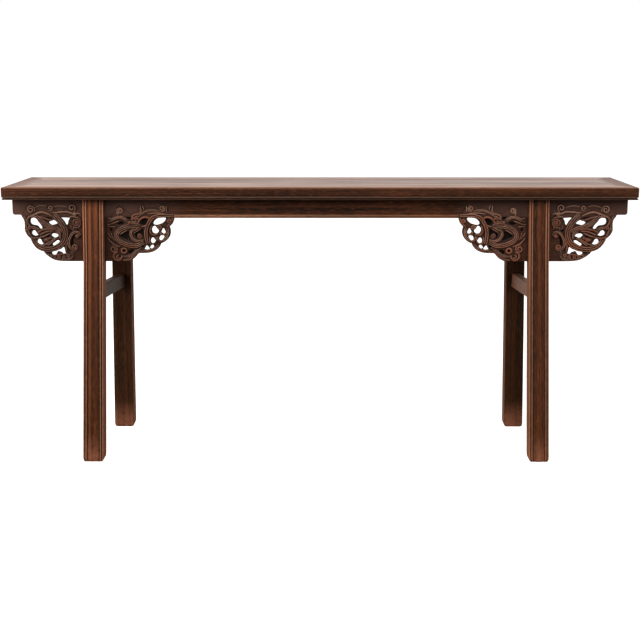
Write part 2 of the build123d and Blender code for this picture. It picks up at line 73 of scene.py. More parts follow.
# -------------- what a user may change
class FinishColours(bpy.types.PropertyGroup):
    lacquer: bpy.props.FloatVectorProperty(
        name="Lacquer", description="Old dark lacquer on the frame, aprons and carving",
        subtype="COLOR", size=4, min=0, max=1, default=linear("#211108"))
    warm: bpy.props.FloatVectorProperty(
        name="Warm lacquer", description="Lacquer where it has thinned and the wood glows through",
        subtype="COLOR", size=4, min=0, max=1, default=linear("#472612"))
    rubbed: bpy.props.FloatVectorProperty(
        name="Rubbed wood", description="Wood rubbed bare on faces that hands and cloths reach",
        subtype="COLOR", size=4, min=0, max=1, default=linear("#8f4e2c"))
    # bare wood of worn arrises, and also the colour of the painted highlights along the beads and the top's
    # front arris
    bare_edge_and_highlight: bpy.props.FloatVectorProperty(
        name="Bare edge", description="Wood along arrises that have lost their lacquer",
        subtype="COLOR", size=4, min=0, max=1, default=linear("#a9795c"))
    # real dust and wax in pores, flecks and joints, and also the colour of the painted shade in corners,
    # cuts, pockets and grooves
    dirt_and_shade: bpy.props.FloatVectorProperty(
        name="Old dirt", description="Dust and wax gathered in corners and hollows",
        subtype="COLOR", size=4, min=0, max=1, default=linear("#0c0704"))
    top: bpy.props.FloatVectorProperty(
        name="Top wood", description="Worn boards and rails of the top, seen from above",
        subtype="COLOR", size=4, min=0, max=1, default=linear("#6f5146"))


class CarvingSizes(bpy.types.PropertyGroup):
    ground_lift: bpy.props.FloatProperty(
        name="Ground lift", description="How far the carving's ground stands proud of the apron",
        unit="LENGTH", default=1.2 * MM, min=0.2 * MM, max=4 * MM)
    pocket_depth: bpy.props.FloatProperty(
        name="Pocket depth", description="How deep the hollows between the strands are cut",
        unit="LENGTH", default=8 * MM, min=1 * MM, max=12 * MM)
    chisel: bpy.props.FloatProperty(
        name="Chisel width", description="Finest cut that the carving keeps",
        unit="LENGTH", default=0.95 * MM, min=0.8 * MM, max=4 * MM)


class LegSizes(bpy.types.PropertyGroup):
    foot_wear: bpy.props.FloatProperty(
        name="Foot wear", description="How far each foot's lower edges are worn round",
        unit="LENGTH", default=8 * MM, min=0, max=15 * MM)
    flare: bpy.props.FloatProperty(
        name="Flare", description="How much the front left leg's head spreads to the table's end",
        unit="LENGTH", default=5 * MM, min=0, max=10 * MM)


class StudioSettings(bpy.types.PropertyGroup):
    floor: bpy.props.FloatVectorProperty(
        name="Floor", description="Colour of the plain floor",
        subtype="COLOR", size=4, min=0, max=1, default=linear("#f4f2ef"))
    bounce: bpy.props.FloatVectorProperty(
        name="Bounce", description="Colour that the floor throws back on the table",
        subtype="COLOR", size=4, min=0, max=1, default=linear("#5f5b57"))
    key_power: bpy.props.FloatProperty(
        name="Key light", description="Power of the large light above and before the table",
        unit="POWER", default=125.0, min=0)
    left_power: bpy.props.FloatProperty(
        name="Left light", description="Power of the light at the table's left end",
        unit="POWER", default=125.0, min=0)
    right_power: bpy.props.FloatProperty(
        name="Right light", description="Power of the light at the table's right end",
        unit="POWER", default=45.0, min=0)


# -------------- materials
LACQUER_TONES = (0.80, 1.22)  # the figure's values where lacquer is darkest and warmest
BOARD_TONES = (1.78, 2.24)  # a worn board's values where it is darkest and lightest
BOARD_LIGHT = "#c5a899"
PORE = (0.62, 0.72, 0.55)  # the pores' values at a pore's edge and in it, and how dark it is
# What the growth and the wear of elm follow: a name, the share of the pattern's scale that is kept along
# the grain, its scale, detail and roughness.
ELM_PATTERNS = (
    ("figure", 0.012, 62.0, 3.0, 0.6),  # growth figure: bands 16 mm wide that run over a metre
    ("streaks", 0.006, 330.0, 4.0, 0.7),  # grain: 3 mm wide, coarser than elm's 0.3 mm vessels to show
    ("pores", 0.07, 1250.0, 2.0, 0.5),  # open pores: dashes 0.8 mm wide and 12 mm long
    ("patches", 0.3, 9.0, 4.0, 0.6),  # patches where hands and cloths rubbed: about 110 mm
    ("scuffs", 1.0, 65.0, 5.0, 0.7),  # scuffs that break the worn edges: 15 mm
    ("flecks", 0.11, 380.0, 3.0, 0.65),  # lacquer lifted or darkened: 3 mm wide and 25 mm long
    ("bands", 0.02, 22.0, 3.0, 0.55),  # broad bands of the planks: 45 mm wide and over 1 m long
)


def add(tree, kind, sockets, **settings):
    """Adds a shader node with its settings, and gives its outputs. Each socket is given its value, or a
    link from another node's output."""
    node = tree.nodes.new("ShaderNode" + kind)
    for name, value in settings.items():
        setattr(node, name, value)
    for name, value in sockets.items():
        if isinstance(value, bpy.types.NodeSocket):
            tree.links.new(value, node.inputs[name])
        else:
            node.inputs[name].default_value = value
    return node.outputs


def strength(tree, *ramps):
    """How strongly a coat shows: the product of its ramps. A ramp is a value, where it starts and where
    it ends, and its share at the end and at the start: 1 and 0 where they aren't given."""
    share = None
    for ramp in ramps:
        value, start, end, at_end, at_start = (*ramp, *(1.0, 0.0)[len(ramp) - 3:])
        step = add(tree, "MapRange", {"Value": value, "From Min": start, "From Max": end,
                                      "To Min": at_start, "To Max": at_end})[0]
        if share is None:
            share = step
        else:
            share = add(tree, "Math", {0: share, 1: step}, operation="MULTIPLY")[0]
    return share


def lay(tree, body, coats):
    """Lays coats over a body colour, the lowest one first. A coat is its colour, and either one share
    for all of it or the ramps that it follows."""
    for colour, *ramps in coats:
        share = ramps[0] if isinstance(ramps[0], float) else strength(tree, *ramps)
        body = add(tree, "Mix", {0: share, 6: body, 7: colour}, data_type="RGBA")[2]
    return body


def elm(tree, grain, laid):
    """What the coats on a piece of elm can follow: where each spot lies and faces, and the patterns of
    the wood, drawn out along the grain's axis. On a leaning leg, the grain follows the layer laid."""
    place = add(tree, "TexCoord", {})["Object"]
    surface = add(tree, "NewGeometry", {})
    wood = SimpleNamespace(surface=surface, spot=add(tree, "SeparateXYZ", {"Vector": place}),
                           facing=add(tree, "SeparateXYZ", {"Vector": surface["Normal"]}))
    if laid:
        place = add(tree, "Attribute", {}, attribute_name="laid")["Vector"]
    for name, kept, scale, detail, rough in ELM_PATTERNS:
        drawn = tuple(kept if axis == grain else 1.0 for axis in "XYZ")
        run = add(tree, "Mapping", {"Vector": place, "Scale": drawn})[0]
        pattern = add(tree, "TexNoise", {"Vector": run, "Scale": scale, "Detail": detail,
                                         "Roughness": rough})
        setattr(wood, name, pattern[0])
    wood.growth = add(tree, "Math", {0: wood.figure, 1: wood.streaks}, operation="ADD")[0]
    return wood


def worn_board(tree, wood, darkest, lightest, start, end):
    """Wood of the top, worn free of lacquer: its planks' bands, figure and patches between two tones."""
    board = wood.bands
    for pattern in (wood.growth, wood.patches):
        board = add(tree, "Math", {0: board, 1: pattern}, operation="ADD")[0]
    return lay(tree, darkest, [(lightest, (board, start, end))])


def carving_coats(wood, colours):
    """Dust on the apron's band with painted highlights on its whorls, handled crests, arrises worn to tan
    under painted highlights, wax and painted shade in the cuts, painted shade in the pockets, and darker
    left wings.
    """
    away, height = wood.spot["Y"], wood.spot["Z"]
    sharpness = wood.surface["Pointiness"]
    upper = (height, FRAME_BOTTOM - 62 * MM, FRAME_BOTTOM - 44 * MM)
    crest = (away, APRON_FACE - 3 * MM, APRON_FACE - 8 * MM, 0.7)
    return [
        (linear("#6a4a3e"), (*upper, 0.45)),
        # painted highlight on the raised lines of the whorls in the upper band
        (linear("#a07a64"), upper, (away, APRON_FACE - 2.2 * MM, APRON_FACE - 4.2 * MM, 0.75)),
        (linear("#693f31"), crest, (wood.scuffs, 0.3, 0.6, 1.0, 0.3)),
        (colours.rubbed, crest, (wood.patches, 0.45, 0.62, 0.8)),
        # worn arrises of the strands, with a painted highlight where the skin turns sharply outward
        (linear("#a67c66"), (sharpness, 0.51, 0.57, 0.85),
         (away, APRON_FACE - 2 * MM, APRON_FACE - 3 * MM), (wood.scuffs, 0.3, 0.55, 1.0, 0.25)),
        # painted shade, with wax, where the skin turns inward between the strands
        (colours.dirt_and_shade, (sharpness, 0.498, 0.45, 0.95)),
        # painted shade in the pockets sunk behind the ground, kept off the back face
        (colours.dirt_and_shade, (away, APRON_FACE, APRON_FACE + 4 * MM, 0.9), (wood.facing["Y"], 0.9, 0.5)),
        # the left wings are darker, nearer the lacquer
        (colours.lacquer, (wood.spot["X"], 0.2, -0.2, 0.3)),
    ]


def leg_coats(tree, wood, colours, handled, flank):
    """A leg's side faces are thin in lacquer and its foot is scuffed. A front leg is rubbed as well, as
    its layer rubbed says and most of all near the head, its bead crowns are worn under painted
    highlights, and the lines beside its beads hold wax under painted shade."""
    scraped = add(tree, "Math", {0: wood.scuffs, 1: wood.figure}, operation="ADD")[0]
    coats = [
        (linear("#8a583f"), (flank, 0.0, 1.0, 0.55)),
        (linear("#9a6046"), (wood.spot["Z"], 0.095, 0.005, 0.7), (scraped, 0.75, 1.15, 1.0, 0.25)),
    ]
    if not handled:
        return coats
    touched = add(tree, "Attribute", {}, attribute_name="rubbed")["Fac"]
    uneven = add(tree, "Math", {0: wood.growth, 1: 0.5, 2: wood.figure}, operation="MULTIPLY_ADD")[0]
    return [
        (colours.rubbed, (touched, 0.1, 0.65), (wood.spot["Z"], 0.40, 0.80, 1.0, 0.35),
         (uneven, 0.90, 1.16, 1.0, 0.35)),
        # worn bead crowns, with a painted highlight along them
        (colours.bare_edge_and_highlight, (touched, 0.84, 1.0, 0.55), (wood.scuffs, 0.25, 0.6, 1.0, 0.45)),
        *coats,
        # wax and painted shade in the sunk lines beside the beads on the face
        (colours.dirt_and_shade, (touched, 0.12, 0.01, 0.9), (wood.facing["Y"], -0.3, -0.5)),
    ]


def rail_top(tree, wood, colours, grain):
    """Upper face of the frame: worn as the boards are, browned by hands along its outer half, with dirt
    in its joints. The front rail is paler towards the boards, worn and under a painted sheen, and the
    end rails are darker."""
    from_edge = {}
    for axis, half in (("X", TOP_END), ("Y", TOP_SIDE)):
        off_middle = add(tree, "Math", {0: wood.spot[axis]}, operation="ABSOLUTE")[0]
        from_edge[axis] = add(tree, "Math", {0: half, 1: off_middle}, operation="SUBTRACT")[0]
    margin = from_edge["Y" if grain == "X" else "X"]
    bare = worn_board(tree, wood, linear("#a17c69"), linear("#d8b49f"), 1.82, 2.18)
    if grain == "X":
        coats = [
            # the front rail paler towards the boards: worn wood with a painted sheen of the light the top
            # reflects
            (bare, (margin, 14 * MM, 44 * MM, 0.80, 0.20), (wood.spot["Y"], 0.05, -0.05, 1.0, 0.15)),
            # dirt in the joint with the boards, drawn 5 mm wide so that it shows
            (colours.dirt_and_shade, (margin, 67 * MM, 68.5 * MM, 0.7)),
        ]
    else:
        coats = [(linear("#5c4540"), 0.45), (bare, (margin, 30 * MM, 10 * MM, 0.10))]
    # the mitres run from the corners to the panel's corners, drawn 3 mm wide so that they show
    level = add(tree, "Math", {0: from_edge["Y"], 1: MITRE_SLOPE}, operation="MULTIPLY")[0]
    off = add(tree, "Math", {0: from_edge["X"], 1: level}, operation="SUBTRACT")[0]
    off = add(tree, "Math", {0: off}, operation="ABSOLUTE")[0]
    coats += [(linear("#7f5a45"), (margin, 46 * MM, 30 * MM, 0.5), (wood.scuffs, 0.25, 0.6, 1.0, 0.5)),
              (colours.dirt_and_shade, (off, 2.2 * MM, 1.2 * MM, 0.85))]
    return lay(tree, worn_board(tree, wood, colours.top, linear(BOARD_LIGHT), *BOARD_TONES), coats)


def rail_coats(tree, wood, colours, grain):
    """Moulded face of the frame: painted light makes it lighter towards the upper arris, broken by mottled
    thin lacquer. The arris is worn tan under a painted highlight, and the two beads along the lower edge
    are rubbed under painted highlights, with wax and painted shade in the grooves beside them."""
    height = wood.spot["Z"]
    mottled = add(tree, "Math", {0: wood.patches, 1: wood.flecks}, operation="ADD")[0]
    # painted light: the fascia turns lighter towards its upper arris, where the light from above falls,
    # broken by mottled thin lacquer
    thinned = lay(tree, colours.warm, [(linear("#6a3c26"), (wood.growth, *LACQUER_TONES))])
    coats = [
        (colours.lacquer, 0.42),
        (thinned, (height, TABLE_TOP - 26 * MM, TABLE_TOP - 3 * MM, 0.4), (mottled, 0.82, 1.12, 0.25, 1.7)),
    ]
    # millimetres below the top, half width, share and colour: two bead lines, worn under painted highlights
    # and the lower one faint as it lies in shade, and two grooves of painted shade with wax
    for below, half, share, colour in ((31.0, 2.0, 0.22, colours.bare_edge_and_highlight),
                                       (38.6, 1.6, 0.05, colours.bare_edge_and_highlight),
                                       (27.4, 1.7, 0.9, colours.dirt_and_shade), (35.0, 2.0, 0.95, colours.dirt_and_shade)):
        line = add(tree, "Math", {0: height, 1: TABLE_TOP - below * MM, 2: half * MM},
                   operation="COMPARE")[0]
        coats.append((colour, (line, 0.0, 1.0, share)))
    return coats + [
        # the upper arris, worn tan, with a painted highlight along it
        (colours.bare_edge_and_highlight, (height, TABLE_TOP - 5.5 * MM, TABLE_TOP - 1.5 * MM),
         (wood.scuffs, 0.2, 0.5, 0.25, 0.05)),
        (rail_top(tree, wood, colours, grain), (wood.facing["Z"], 0.90, 0.99)),
    ]


def lacquer(tree, wood, colours, rubbed, bare, rail, relief):
    """Old lacquer: dark and warm along the grain, rubbed thin in patches and, but for the carving's, in
    flecks as well, which turn dark where it has lifted."""
    mixed = add(tree, "Math", {0: wood.patches, 1: wood.streaks}, operation="ADD")[0]
    coats = [(colours.warm, (wood.growth, *LACQUER_TONES)), (colours.rubbed, (mixed, 1.0, 1.28, rubbed))]
    if bare:
        coats.append((colours.bare_edge_and_highlight, bare))
    if not relief:
        coats += [(colours.rubbed, (wood.flecks, 0.46, 0.30, min(0.6, 1.2 * rubbed))),
                  (colours.dirt_and_shade, (wood.flecks, 0.50, 0.68, 0.85 if rail else 0.6))]
    return lay(tree, colours.lacquer, coats)


def polish(tree, wood, body, flank, level):
    """The surface that wood has in a body colour. Wear takes its polish, a leg's side faces have none,
    and its vessels are open."""
    pit = strength(tree, (wood.pores, *PORE))
    dull = add(tree, "Math", {0: wood.patches, 1: pit}, operation="ADD")[0]
    rough = strength(tree, (dull, 0.3, 0.9, 0.58, 0.36))
    if flank is not None:
        rough = add(tree, "Math", {0: flank, 1: 0.35, 2: rough}, operation="MULTIPLY_ADD")[0]
    fibre = add(tree, "Math", {0: wood.streaks, 1: pit}, operation="SUBTRACT")[0]
    bump = add(tree, "Bump", {"Height": fibre, "Strength": 0.35, "Distance": 0.0006})[0]
    shader = add(tree, "BsdfPrincipled", {"Base Color": body, "Roughness": rough, "Normal": bump,
                                          "IOR": 1.45, "Specular IOR Level": level})[0]
    add(tree, "OutputMaterial", {"Surface": shader})


def aged_elm(name, grain, rubbed=0.25, edge=0.6, bare=0.0, top=False, rail=False, relief=False,
             handled=False, shaded=False, dusty=False, laid=False):
    """Old elm under thin brown lacquer. The lacquer shows grain as soft dark streaks, its thin places
    glow orange-brown, arrises are worn to tan, and corners hold dark wax under painted shade. grain is
    the axis the wood runs along. rubbed, edge and bare are the shares of lacquer rubbed thin, worn off
    the arrises and gone all over. top is a worn board, rail the frame round it, relief the carving, dusty
    the apron that it lies on, handled a front leg, shaded a part under a black-brown coat, which is
    lacquer that hands don't reach and painted shade, and laid a leaning leg."""
    colours = bpy.context.scene.altar_colours
    material = bpy.data.materials.new(name)
    material.use_nodes = True
    tree = material.node_tree
    tree.nodes.clear()
    wood = elm(tree, grain, laid)
    if top:
        body = worn_board(tree, wood, colours.top, linear(BOARD_LIGHT), *BOARD_TONES)
    else:
        body = lacquer(tree, wood, colours, rubbed, bare, rail, relief)

    coats = [(colours.dirt_and_shade, (wood.pores, *PORE))]
    # painted shade in part: the black-brown coat darkens the battens under the top and the back legs,
    # beside the lacquer that hands haven't worn there
    if shaded:  # a black-brown lacquer
        coats.append((linear("#1d1509"), 0.35))
    if relief or dusty:  # dust greys the carved ends of the front
        off_middle = add(tree, "Math", {0: wood.spot["X"]}, operation="ABSOLUTE")[0]
        coats.append((linear("#422b23" if relief else "#4e362e"),
                      (off_middle, 0.42, 0.52, 0.55 if relief else 0.9)))
    if relief:
        coats += carving_coats(wood, colours)
    # corners within 14 mm and a carving's cuts within 7 mm are darkened by occlusion: painted shade, with
    # the wax and dust they hold
    corner = add(tree, "AmbientOcclusion", {"Distance": 0.007 if relief else 0.014}, samples=6)["AO"]
    coats.append((colours.dirt_and_shade, (corner, 0.92, 0.48, 0.97) if relief else (corner, 0.75, 0.25, 0.8)))
    flank = None
    if laid:
        sideways = add(tree, "Math", {0: wood.facing["X"]}, operation="ABSOLUTE")[0]
        flank = strength(tree, (sideways, 0.8, 0.98))
        coats += leg_coats(tree, wood, colours, handled, flank)
    if not relief:  # arrises: where a 2.5 mm round would turn the face, outside corners only
        rounded = add(tree, "Bevel", {"Radius": 0.0025}, samples=6)[0]
        turn = add(tree, "VectorMath", {0: rounded, 1: wood.surface["Normal"]},
                   operation="DOT_PRODUCT")["Value"]
        coats.append((colours.bare_edge_and_highlight, (turn, 0.995, 0.90), (corner, 0.7, 0.95),
                      (wood.scuffs, 0.35, 0.62, edge)))
    if rail:
        coats += rail_coats(tree, wood, colours, grain)
    # worn boards shine more than lacquer
    polish(tree, wood, lay(tree, body, coats), flank, 0.5 if top else 0.15)
    return material


def dress(names, material):
    """Gives CAD nodes or pieces their material."""
    for name in names:
        piece = bpy.data.objects[name]
        piece.data.materials.clear()
        piece.data.materials.append(material)


def settle(piece, mesh, material, slot, *nodes):
    """Gives a finished piece its mesh and material, and stands it in for its CAD nodes."""
    piece.modifiers.clear()
    piece.data = mesh
    mesh.name = piece.name
    mesh.materials.clear()
    mesh.materials.append(material)
    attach(piece, "root")
    if nodes:
        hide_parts(*nodes)
    return piece


def filling(low, high):
    """The matrix that makes a unit cube fill the box between two corners."""
    return Matrix.Translation((low + high) / 2) @ Matrix.Diagonal((*(high - low), 1))


def new_piece(name, bm):
    """An object at the origin, with the mesh just modelled."""
    mesh = bpy.data.meshes.new(name)
    bm.to_mesh(mesh)
    bm.free()
    piece = bpy.data.objects.new(name, mesh)
    bpy.context.scene.collection.objects.link(piece)
    return piece


def evaluated(piece):
    """The piece's mesh with its modifiers done."""
    bpy.context.view_layer.update()
    return bpy.data.meshes.new_from_object(piece.evaluated_get(bpy.context.evaluated_depsgraph_get()))


# -------------- carving
def scroll(centre, radius, turns, start, inner=0.18, clockwise=False):
    """Points of a scroll that winds in from its rim, from the angle start in degrees."""
    points = []
    steps = max(6, int(turns * 9))
    for i in range(steps + 1):
        share = i / steps
        reach = radius * (1 - share * (1 - inner))
        angle = math.radians(start) + (-1 if clockwise else 1) * share * turns * 2 * math.pi
        points.append((centre[0] + reach * math.cos(angle), centre[1] + reach * math.sin(angle)))
    return points


# Each strand: width, rise above the ground, how many cords are cut along it, and its points as
# (distance from the leg, depth below the frame). Millimetres, drawn for a wing of the drawn length.
OUTER_DRAWN = 209
OUTER_STRANDS = [
    # border ribbons along the three lobes
    (9, 5.0, 2, [(204, 55), (198, 62), (195, 76), (196, 92), (191, 107), (181, 121)]),
    (8, 4.6, 0, [(182, 123), (175, 131), (170, 143), (161, 153), (147, 160), (138, 165)]),
    (8, 5.0, 2, [(46, 164), (44, 178), (48, 189), (60, 194.5), (84, 195), (107, 191), (124, 181),
                 (137, 170)]),
    # the dragon's great loop, and its neck that crosses to the upper right
    (19, 7.4, 3, [(99, 49), (86, 65), (74, 81), (66, 98), (64, 115), (68, 131), (78, 145), (92, 154),
                  (108, 160), (131, 162), (152, 156), (165, 145), (172, 130)]),
    (15, 7.6, 3, [(162, 54), (148, 65), (134, 78), (120, 87), (104, 92), (88, 96), (76, 106)]),
    (6, 6.0, 0, [(104, 69), (120, 66), (136, 60), (152, 55)]),
    (7, 6.0, 0, [(108, 54), (122, 46), (138, 42), (150, 43), (162, 49), (176, 53)]),
    # head: upper jaw, cheek, lower jaw and whiskers
    (6, 7.4, 0, [(94, 98), (112, 95), (132, 97), (148, 101), (160, 109)]),
    (6, 7.6, 0, [(104, 102), (118, 102), (134, 107), (150, 114)]),
    (5, 7.2, 0, [(112, 108), (124, 113), (136, 120), (149, 122)]),
    (14, 6.6, 0, [(112, 124), (124, 130), (136, 132)]),
    (5, 6.4, 0, [(92, 123), (103, 131), (114, 142), (126, 149)]),
    (5, 6.0, 0, [(104, 126), (117, 138), (130, 145), (143, 149)]),
    (7, 5.8, 0, [(146, 123), (158, 126), (170, 126), (181, 122)]),
    (9, 6.4, 2, [(98, 102), (87, 106), (81, 117), (83, 129)]),
    # leaves about the right-hand piercings
    (7, 6.6, 0, [(156, 57), (170, 54), (183, 57), (190, 67), (189, 79), (181, 86)]),
    (9, 6.0, 2, [(153, 99), (162, 93), (175, 91), (188, 93), (194, 100)]),
    (6, 5.6, 0, [(188, 98), (187, 108), (182, 117)]),
    (5, 6.6, 0, scroll((182, 92), 6.5, 1.2, 150, 0.25)),
    (5, 5.4, 0, [(142, 149), (153, 151), (164, 143), (166, 133)]),
    # flame head beside the leg, its comb and the ball above it
    (5.5, 6.4, 0, scroll((29, 77), 16, 1.9, 60, 0.2)),
    (4, 5.6, 0, [(20, 84), (22, 98)]),
    (4, 5.6, 0, [(30, 89), (31, 100)]),
    (4, 5.6, 0, [(38, 88), (39, 100)]),
    (4, 5.6, 0, [(46, 84), (47, 98)]),
    (6, 5.6, 0, [(50, 62), (46, 54), (36, 58), (22, 59), (12, 70)]),
    # hook with a scroll at its foot
    (9, 7.2, 2, [(18, 117), (19, 109), (30, 104), (42, 110), (51, 122), (56, 137), (55, 151), (47, 160),
                 (37, 163)]),
    (5, 6.8, 0, scroll((37, 154), 10, 1.5, 90, 0.15)),
    (8, 5.4, 0, [(60, 104), (59, 124), (62, 142), (66, 156), (62, 167)]),
    # clouds of the bottom band
    (4.5, 5.8, 0, scroll((58, 182), 7, 1.2, 200)),
    (4.5, 5.8, 0, scroll((73, 185), 6.5, 1.2, 30)),
    (4.5, 5.8, 0, scroll((88, 186), 6, 1.2, 200)),
    (4.5, 5.4, 0, scroll((103, 185), 5.5, 1.2, 30)),
    (5, 5.4, 0, [(62, 173), (74, 177), (88, 178), (104, 182), (119, 178)]),
    # whorls and ribbon on the apron
    (4.6, 4.6, 0, scroll((177, 34), 14, 1.7, 150, 0.15)),
    (4.6, 4.4, 0, scroll((112, 29), 9, 1.3, 60, 0.2)),
    (4.6, 4.2, 0, scroll((42, 29), 13, 1.3, 110, 0.25)),
    (6, 5.0, 0, [(14, 50), (22, 45), (32, 49), (44, 46), (56, 41), (70, 41), (88, 43), (104, 44)]),
    (4, 3.6, 0, [(56, 27), (72, 22), (90, 22), (102, 26)]),
    (4, 3.6, 0, [(122, 24), (138, 21), (154, 23), (163, 28)]),
]
OUTER_BALLS = [((33, 49), 7, 6.0), ((27, 119), 7, 7.0), ((29, 77), 5.5, 6.8), ((126, 131), 8, 7.0),
               ((99, 128), 4, 6.4)]
OUTER_POCKETS = [
    [(20, 107), (22, 99), (30, 95), (38, 96), (36, 101), (27, 103)],
    [(44, 99), (50, 93), (54, 100), (51, 107), (46, 106)],
    [(38, 117), (44, 123), (48, 134), (50, 147), (45, 152), (41, 146), (43, 134), (38, 124)],
    [(62, 144), (66.5, 149), (71, 155), (69.5, 159.5), (65, 157), (62, 151)],
    [(108, 62), (122, 58), (138, 57), (126, 62), (112, 66)],
    [(84, 91), (95, 86.5), (108, 86), (98, 89), (88, 93)],
    [(118, 118), (128, 121), (140, 125), (130, 124), (120, 122)],
]
INNER_DRAWN = 222
INNER_STRANDS = [
    # border ribbons along the four lobes, with a knob at the tip
    (7, 5.0, 0, [(218, 60), (215, 72), (209, 82), (201, 87)]),
    (4.6, 6.0, 0, scroll((206, 70), 7.5, 1.3, 250, 0.2)),
    (9, 5.4, 2, [(199, 88), (203, 104), (200, 119), (190, 131), (176, 137)]),
    (9, 5.2, 2, [(174, 140), (167, 153), (155, 162), (138, 168), (118, 169), (104, 169)]),
    (8, 5.0, 0, [(105, 172), (97, 181), (86, 190), (72, 196), (56, 196)]),
    # the dragon's loop, its inner loop and the upright body
    (16, 7.4, 3, [(114, 86), (94, 85), (70, 88), (50, 96), (38, 109), (36, 123), (46, 135), (62, 143),
                  (80, 149), (98, 150), (112, 146), (124, 136)]),
    (9, 7.4, 2, [(92, 95), (84, 104), (83, 115), (88, 126), (99, 134), (113, 136), (125, 130)]),
    (13, 7.8, 2, [(219, 53), (192, 52), (170, 53), (155, 58), (146, 68), (138, 82), (133, 98), (131, 114),
                  (133, 130), (136, 145)]),
    # flame, nose and brow over the loop
    (10, 6.8, 3, [(12, 74), (22, 68), (34, 61), (48, 58), (60, 60), (70, 67), (80, 77)]),
    (4.6, 5.8, 0, [(10, 82), (22, 80), (34, 75), (46, 70)]),
    (4.6, 5.4, 0, [(12, 60), (20, 64), (30, 62)]),
    (9, 7.6, 2, [(74, 74), (86, 76), (98, 74), (108, 76)]),
    (5, 7.8, 0, [(89, 70), (88, 59), (93, 51), (103, 48), (114, 46)]),
    (5, 7.4, 0, [(99, 70), (98, 60), (103, 55), (110, 57)]),
    (9, 7.0, 3, [(103, 58), (112, 51), (123, 44), (137, 38), (152, 35), (166, 37), (178, 39)]),
    (5, 5.4, 0, [(138, 47), (154, 45), (176, 45), (196, 47)]),
    (7, 7.6, 0, [(106, 82), (109, 71), (117, 62), (130, 57), (143, 60), (148, 69)]),
    (5, 6.4, 0, [(142, 66), (139, 78), (131, 87), (117, 88)]),
    # fingers and ball inside the loops
    (4.5, 6.6, 0, [(86, 105), (98, 98), (112, 90)]),
    (4.5, 6.2, 0, [(93, 109), (104, 102), (117, 94)]),
    (4.5, 7.0, 0, [(46, 106), (56, 99), (68, 94)]),
    (4.5, 6.6, 0, [(50, 113), (60, 105), (72, 99)]),
    (4, 4.0, 0, scroll((112, 117), 9, 1.5, 0, 0.15)),
    # rings between the piercings
    (6, 5.6, 0, [(150, 86), (144, 98), (147, 111), (158, 117), (170, 111)]),
    (5, 5.6, 0, [(143, 121), (141, 135), (146, 145), (158, 143), (166, 131), (163, 120)]),
    (5, 6.0, 0, scroll((175, 91), 8, 1.3, 200, 0.2)),
    (5, 5.4, 0, [(176, 104), (178, 112), (188, 114), (198, 108)]),
    (5, 5.4, 0, [(168, 118), (169, 134), (182, 136), (192, 124)]),
    (5, 5.2, 0, [(124, 164), (134, 166), (148, 163), (158, 153)]),
    # whorl, claw and eye at the lower left, and the band below
    (5, 6.0, 0, scroll((27, 160), 14, 1.7, 250, 0.15)),
    (7, 6.6, 0, [(40, 170), (29, 173), (25, 184), (31, 194), (42, 197), (51, 192), (53, 182)]),
    (5, 6.2, 0, [(42, 178), (35, 182), (38, 190), (47, 189)]),
    (6, 6.4, 0, scroll((60, 165), 9.5, 1.15, 300, 0.75)),
    (10, 6.4, 3, [(50, 184), (66, 186), (82, 182), (94, 173), (104, 164), (117, 155)]),
    # leaves beside the leg
    (5, 5.2, 0, [(12, 88), (22, 87), (33, 89)]),
    (5, 5.0, 0, [(10, 108), (15, 118), (24, 128)]),
    (5, 5.0, 0, [(20, 108), (23, 120), (30, 132)]),
    (5, 5.0, 0, [(10, 124), (18, 138), (32, 147), (48, 153)]),
    # whorls on the apron
    (4.6, 4.8, 0, scroll((51, 38), 11, 1.7, 100, 0.15)),
    (4.6, 4.4, 0, [(44, 56), (41, 48), (41, 40)]),
    (4.6, 4.4, 0, [(117, 20), (115, 30), (120, 38), (112, 44)]),
    (4.6, 4.4, 0, [(121, 22), (127, 27), (126, 36)]),
    (4.6, 4.6, 0, scroll((185, 31), 11, 1.7, 120, 0.15, True)),
    (4.6, 4.2, 0, [(197, 23), (200, 33), (197, 44)]),
]
INNER_BALLS = [((81, 76), 6, 7.8), ((93, 62), 5, 7.6), ((105, 63), 5, 7.0), ((112, 117), 6, 4.2)]
INNER_POCKETS = [
    [(66, 58), (74, 57.5), (84, 58), (86, 63), (80, 67), (73, 63)],
    [(38, 80), (46, 74), (56, 71), (64, 77), (58, 83), (46, 84)],
    [(46, 118), (54, 111), (66, 105), (79, 102), (76, 112), (78, 122), (86, 136), (74, 133), (62, 128),
     (52, 124)],
    [(98, 105), (107, 100), (118, 93), (124, 99), (125, 111), (123, 124), (112, 128.5), (101, 126),
     (95, 117)],
    [(115, 75), (120, 66), (130, 62), (140, 65), (139, 75), (133, 82), (123, 85), (116, 82)],
    [(99, 158), (108, 153), (119, 148), (126, 149), (119, 158), (108, 164)],
    [(56, 161), (61, 160), (65, 165), (62, 171), (56, 169)],
    [(71, 170), (77, 164), (87, 161), (93, 163), (88, 172), (80, 177), (74, 176)],
    [(16, 95), (21, 92), (25, 99), (22, 106), (17, 104)],
    [(47, 157), (54, 153), (52, 160)],
]
LEFT_EYELET = [(72, 131), (75, 127.5), (79, 129.5), (80, 134.5), (76, 138), (72, 136)]
KEPT = 80  # the pattern isn't stretched over this length beside the leg
FLATTEN = 0.62  # a strand's rise to its half width
CORD_CUT = 4.0  # how far a corded strand's bed lies below its cords
CORD_HALF = 0.34  # half a cord's width to the distance between cords
CROWN = 0.26  # how much lower a strand's edge is than its middle
THROUGH = 30 * MM  # deeper than a wing is thick


def stretched(points, share):
    """Pattern points at the wing's real length."""
    return [(a if a <= KEPT else KEPT + (a - KEPT) * share, b) for a, b in points]


